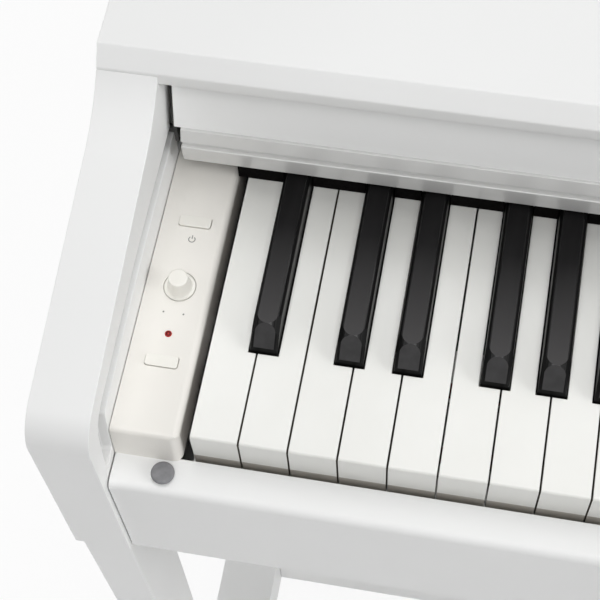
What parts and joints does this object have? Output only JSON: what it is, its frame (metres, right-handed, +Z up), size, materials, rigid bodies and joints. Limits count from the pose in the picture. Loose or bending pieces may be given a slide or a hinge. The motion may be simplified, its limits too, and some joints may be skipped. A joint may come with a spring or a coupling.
{
  "type": "digital piano on stand",
  "caption": "Home digital piano on a stand with weighted hammer keys, a sliding key cover, side control block, folding music rest and a pedal crossbar.",
  "frame": {"origin": "on the floor, under the middle of the case's width and depth", "axes": "+X to the treble end, +Y to the back, +Z up"},
  "size_m": [1.358, 0.41, 0.834],
  "materials": {
    "case_board": "white satin foil on board",
    "back_board": "plain white-grey board",
    "black_board": "black board",
    "block_plastic": "fine-textured warm white moulding",
    "button_plastic": "satin warm white",
    "handle_gloss": "glossy white",
    "key_white": "polished ivory white",
    "key_black": "satin black with polished flanks",
    "bumper_rubber": "grey rubber",
    "glide_rubber": "black rubber",
    "black_felt": "black felt",
    "red_felt": "red felt",
    "dark_steel": "black painted steel",
    "zinc_steel": "zinc-plated sheet steel",
    "screw_steel": "plated screw steel",
    "led_lens": "red lens",
    "board_laminate": "green circuit laminate",
    "speaker_cone": "black treated paper cone",
    "black_plastic": "black moulding",
    "pedal_brass": "polished brass plate",
    "rest_metal": "satin aluminium",
    "hammer_weight": "glass-filled moulding"
  },
  "bodies": {
    "cabinet": {"side_left": "case_board", "side_right": "case_board", "leg_stands": "case_board", "glides": "glide_rubber", "top_board": "case_board", "back_panel": "back_board", "key_bed": "back_board", "key_slip": "case_board", "key_blocks": "block_plastic", "slip_bumpers": "bumper_rubber", "key_felt": "black_felt", "cover_rails": "zinc_steel", "status_led": "led_lens", "circuit_boards": "board_laminate", "action_frame": "zinc_steel", "action_felts": "red_felt", "speaker_boxes": "black_board", "speakers": "speaker_cone", "jack_boxes": "black_plastic", "crossbar": "case_board", "pedal_bracket": "zinc_steel", "rest_ledge": "rest_metal", "fasteners": "screw_steel"},
    "cover": {"key_cover": "case_board", "cover_handle": "handle_gloss", "cover_guides": "dark_steel"},
    "power_button": {"power_button": "button_plastic"},
    "volume_knob": {"volume_knob": "button_plastic"},
    "function_button": {"function_button": "button_plastic"},
    "upper_keys": {"upper_white_keys": "key_white", "upper_black_keys": "key_black"},
    "upper_hammers": {"upper_hammers": "hammer_weight"},
    "pedal_soft": {"pedal_soft": "pedal_brass"},
    "pedal_sostenuto": {"pedal_sostenuto": "pedal_brass"},
    "pedal_damper": {"pedal_damper": "pedal_brass"},
    "music_rest": {"music_rest": "case_board"},
    "key_a0": {"key_a0": "key_white"},
    "hammer_a0": {"hammer_a0": "hammer_weight"},
    "key_as0": {"key_as0": "key_black"},
    "hammer_as0": {"hammer_as0": "hammer_weight"},
    "key_b0": {"key_b0": "key_white"},
    "hammer_b0": {"hammer_b0": "hammer_weight"},
    "key_c1": {"key_c1": "key_white"},
    "hammer_c1": {"hammer_c1": "hammer_weight"},
    "key_cs1": {"key_cs1": "key_black"},
    "hammer_cs1": {"hammer_cs1": "hammer_weight"},
    "key_d1": {"key_d1": "key_white"},
    "hammer_d1": {"hammer_d1": "hammer_weight"},
    "key_ds1": {"key_ds1": "key_black"},
    "hammer_ds1": {"hammer_ds1": "hammer_weight"},
    "key_e1": {"key_e1": "key_white"},
    "hammer_e1": {"hammer_e1": "hammer_weight"},
    "key_f1": {"key_f1": "key_white"},
    "hammer_f1": {"hammer_f1": "hammer_weight"},
    "key_fs1": {"key_fs1": "key_black"},
    "hammer_fs1": {"hammer_fs1": "hammer_weight"},
    "key_g1": {"key_g1": "key_white"},
    "hammer_g1": {"hammer_g1": "hammer_weight"},
    "key_gs1": {"key_gs1": "key_black"},
    "hammer_gs1": {"hammer_gs1": "hammer_weight"}
  },
  "joints": [
    {"name": "cover_slide", "type": "slide", "parent": "cabinet", "child": "cover", "axis": [0, -1, 0], "range_m": [0, 0.15]},
    {"name": "power_press", "type": "slide", "parent": "cabinet", "child": "power_button", "axis": [0, 0, -1], "range_m": [0, 0.001], "stiffness_N_per_m": 400, "springref_m": -0.002},
    {"name": "function_press", "type": "slide", "parent": "cabinet", "child": "function_button", "axis": [0, 0, -1], "range_m": [0, 0.001], "stiffness_N_per_m": 400, "springref_m": -0.002},
    {"name": "volume_turn", "type": "hinge", "parent": "cabinet", "child": "volume_knob", "pos_m": [-0.63165, -0.1034, 0.736], "axis": [0, 0, 1], "range_deg": [-140, 140]},
    {"name": "rest_fold", "type": "hinge", "parent": "cabinet", "child": "music_rest", "pos_m": [0, 0.032, 0.8285], "axis": [1, 0, 0], "range_deg": [0, 70]},
    {"name": "soft_press", "type": "hinge", "parent": "cabinet", "child": "pedal_soft", "pos_m": [-0.066, 0.082, 0.066], "axis": [1, 0, 0], "range_deg": [0, 5.4], "stiffness_Nm_per_rad": 20, "springref_deg": -5.73},
    {"name": "sostenuto_press", "type": "hinge", "parent": "cabinet", "child": "pedal_sostenuto", "pos_m": [0, 0.082, 0.066], "axis": [1, 0, 0], "range_deg": [0, 5.4], "stiffness_Nm_per_rad": 20, "springref_deg": -5.73},
    {"name": "damper_press", "type": "hinge", "parent": "cabinet", "child": "pedal_damper", "pos_m": [0.066, 0.082, 0.066], "axis": [1, 0, 0], "range_deg": [0, 5.4], "stiffness_Nm_per_rad": 20, "springref_deg": -5.73},
    {"name": "press_a0", "type": "hinge", "parent": "cabinet", "child": "key_a0", "pos_m": [0, 0.045, 0.724], "axis": [1, 0, 0], "range_deg": [0, 2.4], "stiffness_Nm_per_rad": 0.5, "springref_deg": -11.46},
    {"name": "swing_a0", "type": "hinge", "parent": "cabinet", "child": "hammer_a0", "pos_m": [0, -0.04, 0.685], "axis": [1, 0, 0], "range_deg": [0, 7.1]},
    {"name": "press_as0", "type": "hinge", "parent": "cabinet", "child": "key_as0", "pos_m": [0, 0.045, 0.724], "axis": [1, 0, 0], "range_deg": [0, 2.4], "stiffness_Nm_per_rad": 0.5, "springref_deg": -11.46},
    {"name": "swing_as0", "type": "hinge", "parent": "cabinet", "child": "hammer_as0", "pos_m": [0, -0.04, 0.685], "axis": [1, 0, 0], "range_deg": [0, 7.1]},
    {"name": "press_b0", "type": "hinge", "parent": "cabinet", "child": "key_b0", "pos_m": [0, 0.045, 0.724], "axis": [1, 0, 0], "range_deg": [0, 2.4], "stiffness_Nm_per_rad": 0.5, "springref_deg": -11.46},
    {"name": "swing_b0", "type": "hinge", "parent": "cabinet", "child": "hammer_b0", "pos_m": [0, -0.04, 0.685], "axis": [1, 0, 0], "range_deg": [0, 7.1]},
    {"name": "press_c1", "type": "hinge", "parent": "cabinet", "child": "key_c1", "pos_m": [0, 0.045, 0.724], "axis": [1, 0, 0], "range_deg": [0, 2.4], "stiffness_Nm_per_rad": 0.5, "springref_deg": -11.46},
    {"name": "swing_c1", "type": "hinge", "parent": "cabinet", "child": "hammer_c1", "pos_m": [0, -0.04, 0.685], "axis": [1, 0, 0], "range_deg": [0, 7.1]},
    {"name": "press_cs1", "type": "hinge", "parent": "cabinet", "child": "key_cs1", "pos_m": [0, 0.045, 0.724], "axis": [1, 0, 0], "range_deg": [0, 2.4], "stiffness_Nm_per_rad": 0.5, "springref_deg": -11.46},
    {"name": "swing_cs1", "type": "hinge", "parent": "cabinet", "child": "hammer_cs1", "pos_m": [0, -0.04, 0.685], "axis": [1, 0, 0], "range_deg": [0, 7.1]},
    {"name": "press_d1", "type": "hinge", "parent": "cabinet", "child": "key_d1", "pos_m": [0, 0.045, 0.724], "axis": [1, 0, 0], "range_deg": [0, 2.4], "stiffness_Nm_per_rad": 0.5, "springref_deg": -11.46},
    {"name": "swing_d1", "type": "hinge", "parent": "cabinet", "child": "hammer_d1", "pos_m": [0, -0.04, 0.685], "axis": [1, 0, 0], "range_deg": [0, 7.1]},
    {"name": "press_ds1", "type": "hinge", "parent": "cabinet", "child": "key_ds1", "pos_m": [0, 0.045, 0.724], "axis": [1, 0, 0], "range_deg": [0, 2.4], "stiffness_Nm_per_rad": 0.5, "springref_deg": -11.46},
    {"name": "swing_ds1", "type": "hinge", "parent": "cabinet", "child": "hammer_ds1", "pos_m": [0, -0.04, 0.685], "axis": [1, 0, 0], "range_deg": [0, 7.1]},
    {"name": "press_e1", "type": "hinge", "parent": "cabinet", "child": "key_e1", "pos_m": [0, 0.045, 0.724], "axis": [1, 0, 0], "range_deg": [0, 2.4], "stiffness_Nm_per_rad": 0.5, "springref_deg": -11.46},
    {"name": "swing_e1", "type": "hinge", "parent": "cabinet", "child": "hammer_e1", "pos_m": [0, -0.04, 0.685], "axis": [1, 0, 0], "range_deg": [0, 7.1]},
    {"name": "press_f1", "type": "hinge", "parent": "cabinet", "child": "key_f1", "pos_m": [0, 0.045, 0.724], "axis": [1, 0, 0], "range_deg": [0, 2.4], "stiffness_Nm_per_rad": 0.5, "springref_deg": -11.46},
    {"name": "swing_f1", "type": "hinge", "parent": "cabinet", "child": "hammer_f1", "pos_m": [0, -0.04, 0.685], "axis": [1, 0, 0], "range_deg": [0, 7.1]},
    {"name": "press_fs1", "type": "hinge", "parent": "cabinet", "child": "key_fs1", "pos_m": [0, 0.045, 0.724], "axis": [1, 0, 0], "range_deg": [0, 2.4], "stiffness_Nm_per_rad": 0.5, "springref_deg": -11.46},
    {"name": "swing_fs1", "type": "hinge", "parent": "cabinet", "child": "hammer_fs1", "pos_m": [0, -0.04, 0.685], "axis": [1, 0, 0], "range_deg": [0, 7.1]},
    {"name": "press_g1", "type": "hinge", "parent": "cabinet", "child": "key_g1", "pos_m": [0, 0.045, 0.724], "axis": [1, 0, 0], "range_deg": [0, 2.4], "stiffness_Nm_per_rad": 0.5, "springref_deg": -11.46},
    {"name": "swing_g1", "type": "hinge", "parent": "cabinet", "child": "hammer_g1", "pos_m": [0, -0.04, 0.685], "axis": [1, 0, 0], "range_deg": [0, 7.1]},
    {"name": "press_gs1", "type": "hinge", "parent": "cabinet", "child": "key_gs1", "pos_m": [0, 0.045, 0.724], "axis": [1, 0, 0], "range_deg": [0, 2.4], "stiffness_Nm_per_rad": 0.5, "springref_deg": -11.46},
    {"name": "swing_gs1", "type": "hinge", "parent": "cabinet", "child": "hammer_gs1", "pos_m": [0, -0.04, 0.685], "axis": [1, 0, 0], "range_deg": [0, 7.1]},
    {"name": "press_upper", "type": "hinge", "parent": "cabinet", "child": "upper_keys", "pos_m": [0, 0.045, 0.724], "axis": [1, 0, 0], "range_deg": [0, 2.4], "stiffness_Nm_per_rad": 38, "springref_deg": -11.46},
    {"name": "swing_upper", "type": "hinge", "parent": "cabinet", "child": "upper_hammers", "pos_m": [0, -0.04, 0.685], "axis": [1, 0, 0], "range_deg": [0, 7.1]}
  ],
  "couplings": [
    {"joint": "swing_a0", "follows": "press_a0", "ratio": 2.95},
    {"joint": "swing_as0", "follows": "press_as0", "ratio": 2.95},
    {"joint": "swing_b0", "follows": "press_b0", "ratio": 2.95},
    {"joint": "swing_c1", "follows": "press_c1", "ratio": 2.95},
    {"joint": "swing_cs1", "follows": "press_cs1", "ratio": 2.95},
    {"joint": "swing_d1", "follows": "press_d1", "ratio": 2.95},
    {"joint": "swing_ds1", "follows": "press_ds1", "ratio": 2.95},
    {"joint": "swing_e1", "follows": "press_e1", "ratio": 2.95},
    {"joint": "swing_f1", "follows": "press_f1", "ratio": 2.95},
    {"joint": "swing_fs1", "follows": "press_fs1", "ratio": 2.95},
    {"joint": "swing_g1", "follows": "press_g1", "ratio": 2.95},
    {"joint": "swing_gs1", "follows": "press_gs1", "ratio": 2.95},
    {"joint": "swing_upper", "follows": "press_upper", "ratio": 2.95}
  ]
}
